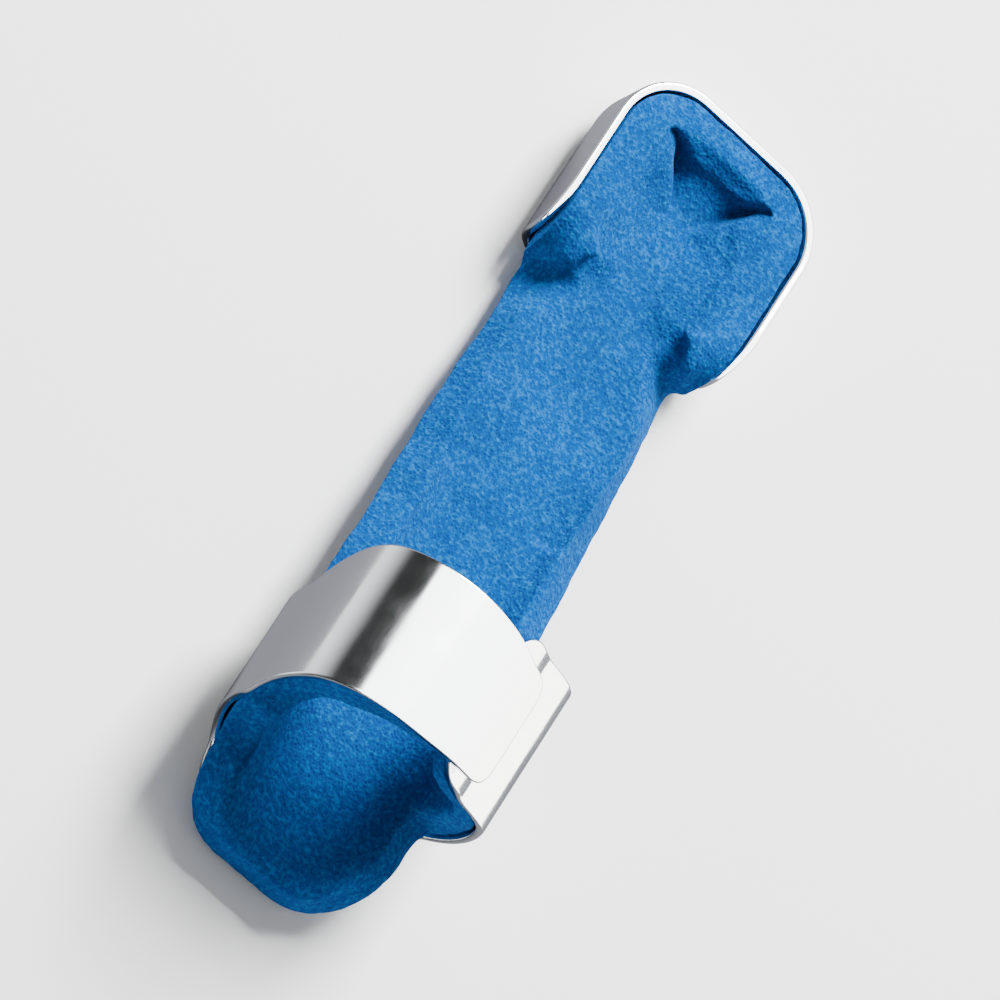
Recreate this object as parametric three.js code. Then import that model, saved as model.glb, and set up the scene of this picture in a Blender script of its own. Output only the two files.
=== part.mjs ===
// Padded finger splint: a bendable aluminium blank and the foam sheet that lines it.
//
// Both sheets are cut flat from the same outline and then bent by the same rule: a tongue and two
// wings round the base of the finger, a narrow strip along the palm side, and a cage with a raised
// rim round the fingertip. The strip lies on Z = 0, +Y points to the fingertip, and +X is on the
// right of someone who looks down on the back of the finger. All lengths are millimetres.

import * as THREE from 'three';
import { mergeVertices } from 'three/addons/utils/BufferGeometryUtils.js';

// Sheets
const metalThickness = 0.9;
const foamThickness = 4;
const sheetGap = 0.3;
const metalShortOfTongueFoam = 2.4;
const metalShortOfStripFoam = 3.2;

// Whole splint
const overallLength = 95;

// Ring round the base of the finger
const ringWidth = 28.5;
const ringHeight = 24.5;
const ringStart = 13.3;

// Tongue
const tongueHalfWidth = 15;
const tongueEndRadius = 10;

// Left wing, which ends on top of the right one
const leftWingWidth = 16;
const leftWingPastTop = 33;
const leftWingEndRadius = 2.8;

// Right wing, which is tucked under the left one
const rightWingWidth = 17.8;
const rightWingShortOfTop = 12;
const rightWingEndRadius = 4;
const tuckStartsShortOfTop = 72;
const tuckEndsShortOfTop = 42;
const foamShortOfWingTip = 2.4;
const squeezedFoamUnderLeftWing = 1.2;
const squeezedFoamOnRightWing = 2;
const squeezeRun = 14;

// Strip, which narrows from the ring to the cage while its gutter opens out
const stripHalfWidthAtRing = 15;
const stripHalfWidthAtCage = 11.4;
const stripFlat = 10;
const stripEdgeRadius = 9.5;
const wingRootRadius = 2.4;

// Cage
const cageLength = 22.6;
const cageWidth = 25.4;
const cageRimHeight = 9;
const cageFloorBend = 4.2;
const cageFloorCorner = 3.2;
const cageWallAngle = 86;
const cageEndRadius = 6;
const cageNotchRadius = 1.1;
const foamPastCageEnd = 1.8;
const foamBelowRim = 0.7;
const innerFoamBend = 5.5;
const innerFoamBendTop = 7.4;

// Foam relief in the cage: the three wall pads swell and meet in a crease at each corner, whose angle
// from the side towards the fingertip changes from the floor to the rim
const foamThicknessAtRim = 2.6;
const sidePadSwell = 1.2;
const endPadSwell = 0.3;
const creaseDepth = 1.4;
const creaseHalfAngle = 17;
const leftCrease = { atFloor: 80, atRim: 45 };
const rightCrease = { atFloor: 66, atRim: 54 };

// Facet sizes
const ringFacet = 2.4;
const cageFacet = 1.6;
const stripFacet = 5;
const wingFacet = 5.5;
const outlineDivisions = 6;
const weldDistance = 0.06;

const radians = THREE.MathUtils.degToRad;
const { clamp, lerp, smoothstep } = THREE.MathUtils;

// The ring's section has a flat as wide as the oval is wider than it is high, and two half circles
const ringFlat = ringWidth - ringHeight;
const ringRadius = ringHeight / 2;

// Distances along the blank, measured from the tongue's tip and from the strip's middle line
const wallTurn = radians(cageWallAngle);
const cageStart = overallLength - cageLength;
const cageFlat = cageWidth - 2 * cageFloorBend;
const bendLength = cageFloorBend * wallTurn;
const bendRise = cageFloorBend * (1 - Math.cos(wallTurn));
const wallStraight = (cageRimHeight - bendRise) / Math.sin(wallTurn);
const wallLean = cageFloorBend * Math.sin(wallTurn) + wallStraight * Math.cos(wallTurn);
const floorEnd = overallLength - wallLean;
const wallDeveloped = bendLength + wallStraight;
const leftWingEnd = ringFlat * 1.5 + ringRadius * (Math.PI + radians(leftWingPastTop));
const rightWingEnd = ringFlat / 2 + ringRadius * (Math.PI - radians(rightWingShortOfTop));
const rightTopAngle = (shortOfTop) => ringFlat / 2 + ringRadius * (Math.PI - radians(shortOfTop));
const tuckDepth = metalThickness + squeezedFoamUnderLeftWing + 2 * sheetGap;
const foamInnerDepth = metalThickness + sheetGap + foamThickness;

// How the sections change from the ring to the cage, in shares of the strip's length between them:
// half the flat in the middle, the radius of the bend beside it and the bend's full turn
const ringEnd = ringStart + rightWingWidth;
const stripEnd = cageStart - foamPastCageEnd;
const sections = [
  { share: 0, flat: ringFlat / 2, radius: ringRadius, turn: Math.PI },
  { share: 0.7, flat: stripFlat / 2, radius: stripEdgeRadius, turn: wallTurn },
  { share: 0.78, flat: stripFlat / 2, radius: stripEdgeRadius, turn: wallTurn },
  { share: 1, flat: cageFlat / 2, radius: cageFloorBend, turn: wallTurn },
].map((section) => ({ ...section, at: lerp(ringEnd, stripEnd, section.share) }));

// The left wing leans forward: its near and far edges along its length, as shares of the named width
// past the ring's start, from the root at the tongue to the free end
const leftWingCourse = [
  { along: 0, near: -0.29, far: 0.53 },
  { along: 0.21, near: -0.24, far: 0.61 },
  { along: 0.29, near: -0.15, far: 0.8 },
  { along: 0.38, near: -0.08, far: 0.94 },
  { along: 0.5, near: -0.03, far: 0.99 },
  { along: 0.8, near: 0, far: 0.98 },
  { along: 1, near: 0.02, far: 0.87 },
];

function sectionAt(y) {
  const after = sections.findIndex((section) => y < section.at);
  if (after === 0) return sections[0];
  if (after < 0) return sections[sections.length - 1];
  const low = sections[after - 1];
  const high = sections[after];
  const t = smoothstep(y, low.at, high.at);
  return {
    flat: lerp(low.flat, high.flat, t),
    radius: lerp(low.radius, high.radius, t),
    turn: lerp(low.turn, high.turn, t),
  };
}

// How far the right wing lies inside the ring's own oval, where it is tucked under the left one
function tuckAt(x) {
  return tuckDepth * smoothstep(x, rightTopAngle(tuckStartsShortOfTop), rightTopAngle(tuckEndsShortOfTop));
}

// Share of the way up the cage's wall, and the direction in which the wall faces there
function upTheWall(x, y) {
  const sideways = Math.max(Math.abs(x) - cageFlat / 2 + cageFloorCorner, 0);
  const forwards = Math.max(y - floorEnd + cageFloorCorner, 0);
  const share = clamp((Math.hypot(sideways, forwards) - cageFloorCorner) / wallDeveloped, 0, 1);
  return { share: y < cageStart ? 0 : share, facing: Math.atan2(forwards, sideways) };
}

// How far the three pads of the cage bulge, less the creases that part them
function padRelief(x, y) {
  const { share, facing } = upTheWall(x, y);
  const { atFloor, atRim } = x > 0 ? rightCrease : leftCrease;
  const fromCrease = (facing - radians(lerp(atFloor, atRim, share))) / radians(creaseHalfAngle);
  const swell = lerp(sidePadSwell, endPadSwell, smoothstep(fromCrease, -1, 1));
  const crease = Math.exp(-fromCrease * fromCrease);
  return lerp(swell, -creaseDepth, crease) * Math.sin(Math.PI * share);
}

// The foam's thickness, squeezed where the wings overlap and thinner at the cage's rim
function foamThicknessAt(x, y) {
  const leftSqueezed = leftWingEnd - ringRadius * radians(leftWingPastTop - rightWingShortOfTop);
  const left = smoothstep(-x, leftSqueezed - squeezeRun, leftSqueezed - sheetGap);
  const rightSqueezed = rightTopAngle(tuckEndsShortOfTop);
  const right = smoothstep(x, rightSqueezed - squeezeRun, rightSqueezed);
  let thickness = lerp(foamThickness, squeezedFoamUnderLeftWing, left);
  thickness = lerp(thickness, squeezedFoamOnRightWing, right);
  thickness = lerp(thickness, foamThicknessAtRim, smoothstep(upTheWall(x, y).share, 0.5, 1));
  return thickness + padRelief(x, y);
}

// Place of a point of the flat blank after bending, at a depth below the outer face
function bentPoint(x, y, depth) {
  const { flat, radius, turn } = sectionAt(y);
  const across = Math.abs(x);
  const side = Math.sign(x);
  const corner = cageFloorCorner;
  const bodyEnd = floorEnd - corner;
  const atFront = y > bodyEnd && across <= flat - corner;
  const atCorner = y > bodyEnd && !atFront;

  // Distance past the edge of the flat floor, and the direction in which the edge faces
  let past = across - flat;
  const facing = new THREE.Vector2(side, 0);
  if (atFront) {
    past = y - floorEnd;
    facing.set(0, 1);
  } else if (atCorner) {
    facing.set(side * (across - flat + corner), y - bodyEnd);
    past = facing.length() - corner;
    facing.normalize();
  }

  // Deep inside the sheet the floor shrinks, so that the bend above it keeps its round
  const bend = Math.max(radius - depth, (innerFoamBend * depth) / foamInnerDepth);
  const shrink = bend - (radius - depth);
  const scale = (flat - shrink) / flat;
  const centreY = floorEnd - shrink - corner * scale;
  const place = new THREE.Vector2(side * Math.min(across, flat) * scale, y);
  if (y > cageStart) place.y = lerp(cageStart, centreY, (y - cageStart) / (bodyEnd - cageStart));
  if (atFront) place.y = centreY + Math.min(y - bodyEnd, corner) * scale;
  if (atCorner) {
    place.set(side * (flat - corner) * scale, centreY);
    place.addScaledVector(facing, Math.min(past + corner, corner) * scale);
  }
  if (past <= 0) return new THREE.Vector3(place.x, place.y, depth);

  // Up the bend, along the straight, and in the ring round its far side too
  const angle = Math.min(past / radius, turn);
  const top = (innerFoamBendTop - depth) / (1 - Math.cos(turn));
  const upright = shrink > 0 ? Math.min(bend, top) : bend;
  let reach = bend * Math.sin(angle);
  let rise = upright * (1 - Math.cos(angle));
  const straight = past - radius * turn;
  if (straight > 0) {
    const inRing = y < sections[1].at;
    const room = inRing ? 2 * flat : wallStraight;
    const lift = inRing ? 0 : depth + rise - radius * (1 - Math.cos(turn));
    const run = (Math.min(straight, room) * (room - lift)) / room;
    const round = Math.max(straight - room, 0) / radius;
    reach += run * Math.cos(turn) - bend * Math.sin(round);
    rise += run * Math.sin(turn) - bend * (1 - Math.cos(round));
  }
  return new THREE.Vector3(place.x + facing.x * reach, place.y + facing.y * reach, depth + rise);
}

// Flat outline

// Outline of a sheet; trim says how far each stretch of it is drawn in from the blank's edge
function blankOutline(trim) {
  const shape = new THREE.Shape();
  const tip = trim.tongue;
  const tongueRadius = tongueEndRadius - trim.tongue;
  const tongue = tongueHalfWidth - trim.tongue;
  const stripAtRing = stripHalfWidthAtRing - trim.strip;
  const strip = stripHalfWidthAtCage - trim.strip;
  const rightEnd = rightWingEnd - trim.wings;
  const nearEdge = ringStart + trim.wings;
  const farEdge = ringStart + rightWingWidth - trim.wings;
  const lobeStart = cageStart + trim.wallEnds;
  const wall = cageFlat / 2 + wallDeveloped - trim.rim;
  const root = wingRootRadius;
  const notch = cageNotchRadius;

  // Tongue tip to the right wing
  shape.moveTo(0, tip);
  shape.lineTo(tongue - tongueRadius, tip);
  shape.absarc(tongue - tongueRadius, tip + tongueRadius, tongueRadius, -Math.PI / 2, 0);
  shape.lineTo(tongue, nearEdge - root);
  shape.absarc(tongue + root, nearEdge - root, root, Math.PI, Math.PI / 2, true);

  // Right wing
  shape.lineTo(rightEnd - rightWingEndRadius, nearEdge);
  const rightCentre = rightEnd - rightWingEndRadius;
  shape.absarc(rightCentre, nearEdge + rightWingEndRadius, rightWingEndRadius, -Math.PI / 2, 0);
  shape.absarc(rightCentre, farEdge - rightWingEndRadius, rightWingEndRadius, 0, Math.PI / 2);
  shape.lineTo(stripAtRing + root, farEdge);
  shape.absarc(stripAtRing + root, farEdge + root, root, -Math.PI / 2, -Math.PI, true);

  // Strip and the right wall of the cage, with its rounded end and the notch at its root
  shape.absarc(strip + notch, lobeStart - notch, notch, Math.PI, Math.PI / 2, true);
  shape.absarc(wall - cageEndRadius, lobeStart + cageEndRadius, cageEndRadius, -Math.PI / 2, 0);

  // Rim of the cage, as far outside its floor as the wall is high
  const cornerX = cageFlat / 2 - cageFloorCorner;
  const cornerY = floorEnd - cageFloorCorner;
  shape.absarc(cornerX, cornerY, wall - cornerX, 0, Math.PI / 2);
  shape.absarc(-cornerX, cornerY, wall - cornerX, Math.PI / 2, Math.PI);

  // Left wall of the cage and the strip
  shape.absarc(cageEndRadius - wall, lobeStart + cageEndRadius, cageEndRadius, Math.PI, Math.PI * 1.5);
  shape.absarc(-strip - notch, lobeStart - notch, notch, Math.PI / 2, 0, true);

  // Left wing
  const wing = leftWingEdges(trim);
  shape.lineTo(-stripAtRing, wing.rootFar.y + root);
  shape.quadraticCurveTo(-stripAtRing, wing.rootFar.y, wing.far[1].x, wing.far[1].y);
  shape.splineThru(wing.far.slice(2));
  const end = wing.far[wing.far.length - 1];
  const turn = wing.near[0];
  const endX = end.x - leftWingEndRadius;
  shape.quadraticCurveTo(endX, end.y, endX, end.y - leftWingEndRadius);
  shape.lineTo(endX, turn.y + leftWingEndRadius);
  shape.quadraticCurveTo(endX, turn.y, turn.x, turn.y);
  shape.splineThru(wing.near.slice(1, -1));
  const rootNear = wing.near[wing.near.length - 1];
  const tongueCentreY = tip + tongueRadius;
  const joins = Math.PI + Math.asin(clamp((tongueCentreY - rootNear.y + root) / tongueRadius, 0, 1));
  const joinX = tongueRadius - tongue + tongueRadius * Math.cos(joins);
  shape.quadraticCurveTo(joinX, rootNear.y, joinX, tongueCentreY + tongueRadius * Math.sin(joins));

  // Left side of the tongue
  shape.absarc(tongueRadius - tongue, tongueCentreY, tongueRadius, joins, Math.PI * 1.5);
  return shape;
}

// The two long edges of the left wing: the far one from root to free end, the near one back again
function leftWingEdges(trim) {
  const inset = trim.wings;
  const rootX = -tongueHalfWidth;
  const endX = leftWingEndRadius + trim.wingTip - leftWingEnd;
  const edge = (along, share) => (
    new THREE.Vector2(lerp(rootX, endX, along), ringStart + leftWingWidth * share)
  );
  const far = leftWingCourse.map((row) => edge(row.along, row.far - inset / leftWingWidth));
  const near = leftWingCourse.map((row) => edge(row.along, row.near + inset / leftWingWidth)).reverse();
  return { far, near, rootFar: far[0] };
}

// Sheets

// Grid lines from one place to the next, no further apart than the step given for that stretch
function gridLines(start, stretches) {
  const lines = [start];
  for (const { to, step } of stretches) {
    const from = lines[lines.length - 1];
    const count = Math.max(1, Math.ceil((to - from) / step));
    for (let i = 1; i <= count; i += 1) lines.push(lerp(from, to, i / count));
  }
  return lines;
}

const margin = ringFacet;
const cageSide = cageFlat / 2 + wallDeveloped;
const columns = gridLines(-leftWingEnd - margin, [
  { to: -cageSide, step: ringFacet },
  { to: -cageFlat / 2, step: cageFacet },
  { to: -ringFlat / 2, step: ringFacet },
  { to: ringFlat / 2, step: ringFlat },
  { to: cageFlat / 2, step: ringFacet },
  { to: cageSide, step: cageFacet },
  { to: rightWingEnd + margin, step: ringFacet },
]);
const rows = gridLines(-margin, [
  { to: ringEnd, step: wingFacet },
  { to: sections[1].at, step: ringFacet },
  { to: sections[2].at, step: stripFacet },
  { to: stripEnd, step: ringFacet },
  { to: cageStart + cageEndRadius, step: cageFacet },
  { to: floorEnd - cageFloorCorner, step: 2 * cageFacet },
  { to: floorEnd + wallDeveloped + margin, step: cageFacet },
]);

// The part of a polygon on one side of a grid line; sign is 1 to keep what lies above the line
function clipped(polygon, axis, line, sign) {
  const kept = [];
  polygon.forEach((point, i) => {
    const next = polygon[(i + 1) % polygon.length];
    const here = sign * (point[axis] - line);
    const there = sign * (next[axis] - line);
    if (here >= 0) kept.push(point);
    if (here * there < 0) kept.push(point.clone().lerp(next, here / (here - there)));
  });
  return kept;
}

// Gives points that nearly coincide one shared number
function welder() {
  const points = [];
  const cells = new Map();
  const cellOf = (value) => Math.floor(value / weldDistance);
  return {
    points,
    numberOf(point) {
      const column = cellOf(point.x);
      const row = cellOf(point.y);
      for (let i = column - 1; i <= column + 1; i += 1) {
        for (let j = row - 1; j <= row + 1; j += 1) {
          const near = (cells.get(`${i},${j}`) ?? []).find((n) => points[n].distanceTo(point) < weldDistance);
          if (near !== undefined) return near;
        }
      }
      const key = `${column},${row}`;
      cells.set(key, [...(cells.get(key) ?? []), points.length]);
      return points.push(point.clone()) - 1;
    },
  };
}

// A corner that repeats its neighbour, or at which the line turns straight back on itself
function isSpike(before, here, after) {
  const arriving = here.clone().sub(before);
  const leaving = after.clone().sub(here);
  if (arriving.length() === 0) return true;
  return Math.abs(arriving.cross(leaving)) < weldDistance ** 2 && arriving.dot(leaving) < 0;
}

// The corners without their spikes; placeOf gives a corner's point
function withoutSpikes(corners, placeOf) {
  const count = corners.length;
  const spike = corners.findIndex((corner, i) => isSpike(
    placeOf(corners[(i + count - 1) % count]),
    placeOf(corner),
    placeOf(corners[(i + 1) % count]),
  ));
  if (spike < 0 || count < 3) return corners;
  return withoutSpikes(corners.filter((_, i) => i !== spike), placeOf);
}

// Flat blank divided along the grid lines: its points, its triangles and the edges of its outline
function flatBlank(outline) {
  const polygon = outline.extractPoints(outlineDivisions).shape;
  if (THREE.ShapeUtils.isClockWise(polygon)) polygon.reverse();
  const weld = welder();
  rows.forEach((y) => columns.forEach((x) => weld.numberOf(new THREE.Vector2(x, y))));
  const triangles = [];
  const open = new Map();
  const addEdge = (from, to) => {
    if (!open.delete(`${to},${from}`)) open.set(`${from},${to}`, [from, to]);
  };
  for (let i = 1; i < columns.length; i += 1) {
    const band = clipped(clipped(polygon, 'x', columns[i - 1], 1), 'x', columns[i], -1);
    for (let j = 1; j < rows.length; j += 1) {
      const cell = clipped(clipped(band, 'y', rows[j - 1], 1), 'y', rows[j], -1);
      const numbers = withoutSpikes(cell, (point) => point).map((point) => weld.numberOf(point));
      const corners = withoutSpikes(numbers, (n) => weld.points[n]);
      const area = THREE.ShapeUtils.area(corners.map((n) => weld.points[n]));
      if (corners.length < 3 || area < weldDistance ** 2 / 2) continue;
      corners.forEach((corner, n) => addEdge(corner, corners[(n + 1) % corners.length]));
      triangles.push(...fan(corners, weld));
    }
  }
  return { points: weld.points, triangles, edges: [...open.values()] };
}

// Centre of gravity of a flat polygon
function centroid(polygon) {
  const sum = new THREE.Vector2();
  let area = 0;
  polygon.forEach((point, i) => {
    const next = polygon[(i + 1) % polygon.length];
    const share = point.cross(next);
    area += share;
    sum.addScaledVector(point, share).addScaledVector(next, share);
  });
  return sum.divideScalar(3 * area);
}

// Triangles of one cell: two in a whole cell, or else a fan round its centre
function fan(corners, weld) {
  const [a, b, c, d] = corners;
  if (corners.length === 3) return [corners];
  if (corners.length === 4) return [[a, b, c], [a, c, d]];
  const centre = weld.numberOf(centroid(corners.map((n) => weld.points[n])));
  return corners.map((n, i) => [n, corners[(i + 1) % corners.length], centre]);
}

// Bends a flat blank; depths gives the outer and inner face's depth at a point of the blank
function bentSheet(outline, depths) {
  const { points, triangles, edges } = flatBlank(outline);
  const positions = [];
  points.forEach(({ x, y }) => {
    const { outer, inner } = depths(x, y);
    for (const depth of [outer, inner]) {
      const point = bentPoint(x, y, tuckAt(x) + depth);
      positions.push(point.x, point.y - overallLength / 2, point.z);
    }
  });
  const outerOf = (n) => 2 * n;
  const innerOf = (n) => 2 * n + 1;
  const faces = triangles.flatMap(([a, b, c]) => [
    [outerOf(a), outerOf(c), outerOf(b)],
    [innerOf(a), innerOf(b), innerOf(c)],
  ]);
  edges.forEach(([a, b]) => faces.push(
    [outerOf(a), outerOf(b), innerOf(b)],
    [outerOf(a), innerOf(b), innerOf(a)],
  ));
  const geometry = new THREE.BufferGeometry();
  geometry.setAttribute('position', new THREE.Float32BufferAttribute(positions, 3));
  geometry.setIndex(faces.flat());
  return mergeVertices(geometry);
}

// The metal stops short of the foam's edge on the tongue and the strip
function aluminiumShell() {
  const trim = {
    tongue: metalShortOfTongueFoam,
    strip: metalShortOfStripFoam,
    wings: 0,
    wingTip: 0,
    rim: 0,
    wallEnds: 0,
  };
  const geometry = bentSheet(blankOutline(trim), () => ({ outer: 0, inner: metalThickness }));
  const material = new THREE.MeshStandardMaterial({ color: '#d9dbdd', roughness: 0.18, metalness: 1 });
  const mesh = new THREE.Mesh(geometry, material);
  mesh.name = 'aluminium_shell';
  return mesh;
}

// The foam stands past the metal on the tongue, on the strip and at the near ends of the cage's walls
function foamLining() {
  const outer = metalThickness + sheetGap;
  const trim = {
    tongue: 0,
    strip: 0,
    wings: sheetGap,
    wingTip: foamShortOfWingTip,
    rim: foamBelowRim,
    wallEnds: -foamPastCageEnd,
  };
  const geometry = bentSheet(blankOutline(trim), (x, y) => ({ outer, inner: outer + foamThicknessAt(x, y) }));
  const material = new THREE.MeshStandardMaterial({ color: '#1a72bd', roughness: 0.95, metalness: 0 });
  const mesh = new THREE.Mesh(geometry, material);
  mesh.name = 'foam_lining';
  return mesh;
}

const splint = new THREE.Group();
splint.add(aluminiumShell());
splint.add(foamLining());

export default splint;
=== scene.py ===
"""Padded finger splint: a polished aluminium blank, bent round the finger, and its blue foam lining.

Both sheets are cut from one flat outline and bent by one rule, the same as the solids'. The foam's pads
are finer than the solid's: they reach nearer to the cage's rim and meet in narrower creases. The strip lies
on Z = 0, +Y points to the fingertip, and the origin is under the middle of the splint. Lengths are metres.
"""

import math
from types import SimpleNamespace

import bpy
import numpy as np
from bpy.props import FloatProperty, FloatVectorProperty, PointerProperty
from mathutils import Matrix, Vector, geometry, noise


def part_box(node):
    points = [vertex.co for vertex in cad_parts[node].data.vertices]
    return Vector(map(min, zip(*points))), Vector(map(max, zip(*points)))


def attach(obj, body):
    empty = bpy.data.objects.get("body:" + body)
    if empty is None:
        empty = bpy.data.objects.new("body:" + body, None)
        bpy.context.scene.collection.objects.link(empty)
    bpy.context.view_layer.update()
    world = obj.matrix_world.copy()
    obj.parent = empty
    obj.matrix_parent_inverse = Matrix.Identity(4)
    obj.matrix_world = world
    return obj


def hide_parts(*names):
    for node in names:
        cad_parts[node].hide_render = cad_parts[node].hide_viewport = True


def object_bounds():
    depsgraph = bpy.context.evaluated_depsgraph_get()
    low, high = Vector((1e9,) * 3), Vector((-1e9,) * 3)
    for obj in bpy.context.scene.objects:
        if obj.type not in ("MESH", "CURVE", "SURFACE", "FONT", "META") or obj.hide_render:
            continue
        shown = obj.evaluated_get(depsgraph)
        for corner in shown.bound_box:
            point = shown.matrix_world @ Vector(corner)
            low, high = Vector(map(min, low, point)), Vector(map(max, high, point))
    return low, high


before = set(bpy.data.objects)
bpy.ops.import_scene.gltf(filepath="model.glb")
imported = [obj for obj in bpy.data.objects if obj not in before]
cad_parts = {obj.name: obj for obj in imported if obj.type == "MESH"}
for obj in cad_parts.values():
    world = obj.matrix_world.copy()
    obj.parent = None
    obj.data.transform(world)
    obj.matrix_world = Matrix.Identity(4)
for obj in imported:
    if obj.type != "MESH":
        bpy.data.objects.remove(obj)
cad_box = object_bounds()

bl_info = {
    "name": "Padded finger splint",
    "version": (1, 0, 0),
    "blender": (4, 5, 0),
    "location": "3D View > Sidebar > Splint",
    "description": "Builds a polished aluminium finger splint with a blue foam lining",
    "category": "Add Mesh",
}

MM = 0.001
NORMAL_STEP = 0.05 * MM
MIN_LENGTH = 1e-9
SHELL_NODE = "aluminium_shell"
LINING_NODE = "foam_lining"
shell_low, shell_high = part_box(SHELL_NODE)
shell_span = (shell_high - shell_low) / MM


# Kinds of size and colour

def length(name, description, millimetres):
    """A length that is given in millimetres and kept in metres."""
    return FloatProperty(name=name, description=description, default=millimetres * MM, min=0.0,
                         unit="LENGTH", precision=5)


def turn(name, description, degrees):
    """An angle that is given in degrees and kept in radians."""
    return FloatProperty(name=name, description=description, default=math.radians(degrees), subtype="ANGLE")


def linear(hex_colour):
    """Linear red, green and blue of an sRGB hex colour."""
    channels = [int(hex_colour[i:i + 2], 16) / 255 for i in (1, 3, 5)]
    return tuple(c / 12.92 if c <= 0.04045 else ((c + 0.055) / 1.055) ** 2.4 for c in channels)


def colour(name, description, hex_colour):
    """A colour that is given in sRGB hex and kept linear."""
    return FloatVectorProperty(name=name, description=description, default=linear(hex_colour),
                               min=0.0, max=1.0, subtype="COLOR")


# Sizes and colours that a user would change

class SplintSheets(bpy.types.PropertyGroup):
    metal: length("Metal thickness", "Thickness of the aluminium sheet", 0.9)
    metal_edge: length("Metal edge round", "Radius of the tumbled edge of the sheet", 0.3)
    foam: length("Foam thickness", "Thickness of the foam where nothing squeezes it", 4)
    foam_edge: length("Foam edge round", "How far the cut edge of the foam is rounded", 0.9)
    gap: length("Gap", "Glue line between the metal and the foam", 0.3)
    short_of_tongue: length("Metal short of tongue", "How far the foam stands past the metal there", 2.4)
    short_of_strip: length("Metal short of strip", "How far the foam stands past the metal there", 3.2)


class SplintRing(bpy.types.PropertyGroup):
    width: length("Ring width", "Outer width of the oval round the finger", shell_span.x)
    height: length("Ring height", "Outer height of the oval round the finger", shell_span.z)
    start: length("Ring start", "Distance from the tongue's tip to the wings", 13.3)
    tongue_half_width: length("Tongue half width", "Half the developed width of the tongue", 15)
    tongue_end_radius: length("Tongue end radius", "Radius of the tongue's two corners", 10)
    root_radius: length("Root radius", "Radius between the wings and what they grow from", 2.4)
    left_width: length("Left wing width", "Width of the wing that ends on top", 16)
    left_past_top: turn("Left wing past top", "How far the left wing reaches past the top", 33)
    left_end_radius: length("Left wing corner", "Radius of the corners of the left wing's free end", 2.8)
    right_width: length("Right wing width", "Width of the wing that is tucked under", 17.8)
    right_short_of_top: turn("Right wing short of top", "How far from the top the right wing ends", 12)
    right_end_radius: length("Right wing corner", "Radius of the corners of the right wing's end", 4)
    tuck_starts: turn("Tuck starts", "Where the right wing leaves the oval, short of the top", 72)
    tuck_ends: turn("Tuck ends", "Where the right wing is fully tucked, short of the top", 42)
    foam_short_of_tip: length("Foam short of wing end", "How far the foam ends before the wing does", 2.4)
    squeezed_under_left: length("Foam under left wing", "Foam between the two wings", 1.2)
    squeezed_on_right: length("Foam on right wing", "Foam between the tucked wing and the finger", 2)
    squeeze_run: length("Squeeze run", "Length over which the foam thins", 14)


class SplintStrip(bpy.types.PropertyGroup):
    half_width_at_ring: length("Half width at ring", "Half the developed width beside the ring", 15)
    half_width_at_cage: length("Half width at cage", "Half the developed width beside the cage", 11.4)
    flat: length("Flat", "Width of the flat in the middle of the strip", 10)
    edge_radius: length("Edge radius", "Radius of the raised edges", 9.5)


class SplintCage(bpy.types.PropertyGroup):
    length: length("Cage length", "Length of the metal of the cage", 22.6)
    width: length("Cage width", "Outer width of the cage", 25.4)
    rim_height: length("Rim height", "Height of the rim over the surface", 9)
    floor_bend: length("Floor bend", "Radius of the bend between floor and wall", 4.2)
    floor_corner: length("Floor corner", "Radius of the floor's corners in plan", 3.2)
    wall_angle: turn("Wall angle", "Angle of the wall to the floor", 86)
    end_radius: length("Wall end radius", "Radius of the walls' near ends", 6)
    notch_radius: length("Notch radius", "Radius of the notch between strip and wall", 1.1)
    foam_past_end: length("Foam past end", "How far the foam stands past the walls' ends", 1.8)
    foam_below_rim: length("Foam below rim", "How far the foam ends below the rim", 0.3)
    inner_bend: length("Inner bend", "Radius of the foam's own bend in the cage", 5.5)
    inner_bend_top: length("Inner bend top", "Height at which the foam's bend ends", 7.4)
    foam_at_rim: length("Foam at rim", "Thickness of the foam at the rim", 2.6)
    side_swell: length("Side pad swell", "How far the two side pads bulge", 1.2)
    end_swell: length("End pad swell", "How far the pad at the fingertip bulges", 0.3)
    crease_depth: length("Crease depth", "Depth of the creases between the pads", 1.5)
    crease_half_angle: turn("Crease half angle", "Half the angle over which a crease opens", 9)


class SplintFinish(bpy.types.PropertyGroup):
    aluminium: colour("Aluminium", "Reflected colour of the polished sheet", "#eceded")
    foam: colour("Foam", "Colour of the lit foam", "#003977")
    # Painted highlight: the pale colour of specks where cell walls catch the light
    foam_wall_highlight: colour("Foam cell walls", "Colour of the thin cell walls that catch the light", "#0268a4")
    # Painted shade: the dark colour down in the open cells
    foam_pore_shade: colour("Foam pores", "Colour down in the open cells", "#01154e")
    floor: colour("Floor", "Colour of the floor", "#f4f4f3")
    # Painted reflection: glossy rays see the floor in this grey, so the metal mirrors a darker floor
    floor_painted_reflection: colour("Floor in gloss", "Colour of the floor as the metal mirrors it", "#54555a")


# The flat blank

# How the section changes from the ring to the cage, in shares of the strip's length between them
SECTION_SHARES = {"ring": 0, "gutter": 0.7, "gutter_end": 0.78, "cage": 1}

# The left wing leans forward: its near and far edges along its length, as shares of its width past
# the ring's start, from the root at the tongue to the free end
LEFT_WING_COURSE = (
    {"along": 0, "near": -0.29, "far": 0.53},
    {"along": 0.21, "near": -0.24, "far": 0.61},
    {"along": 0.29, "near": -0.15, "far": 0.8},
    {"along": 0.38, "near": -0.08, "far": 0.94},
    {"along": 0.5, "near": -0.03, "far": 0.99},
    {"along": 0.8, "near": 0, "far": 0.98},
    {"along": 1, "near": 0.02, "far": 0.87},
)

# Angle of the crease on each side of the cage, from the side towards the fingertip, at the floor and at
# the rim, and the power that sharpens its bottom
CREASE_ANGLES = {
    -1: {"floor": math.radians(80), "rim": math.radians(45)},
    1: {"floor": math.radians(66), "rim": math.radians(54)},
}
CREASE_POWER = 1.4


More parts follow.
